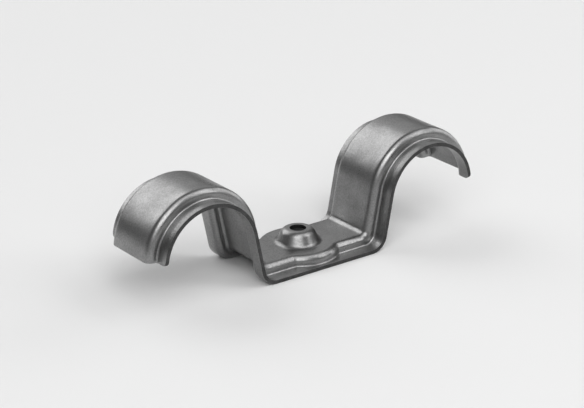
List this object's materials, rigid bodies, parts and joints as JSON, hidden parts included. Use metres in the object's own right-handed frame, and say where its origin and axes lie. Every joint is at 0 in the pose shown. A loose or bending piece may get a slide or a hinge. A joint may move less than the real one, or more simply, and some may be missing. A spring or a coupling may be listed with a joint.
{
  "type": "double cable clip",
  "caption": "Pressed sheet-steel clip with a flat screw foot between arched saddles, holding round cables or conduits side by side against a wall.",
  "frame": {"origin": "screw axis, on the wall plane that the foot's flanges rest on", "axes": "+X along the strip from saddle to saddle, +Y across the strip and along the cables, +Z away from the wall along the screw axis"},
  "size_m": [0.1, 0.0234, 0.0281],
  "materials": {
    "zinc_plated_steel": "satin zinc plating on pressed sheet steel"
  },
  "bodies": {
    "root": {"double_clip": "zinc_plated_steel"}
  },
  "joints": []
}
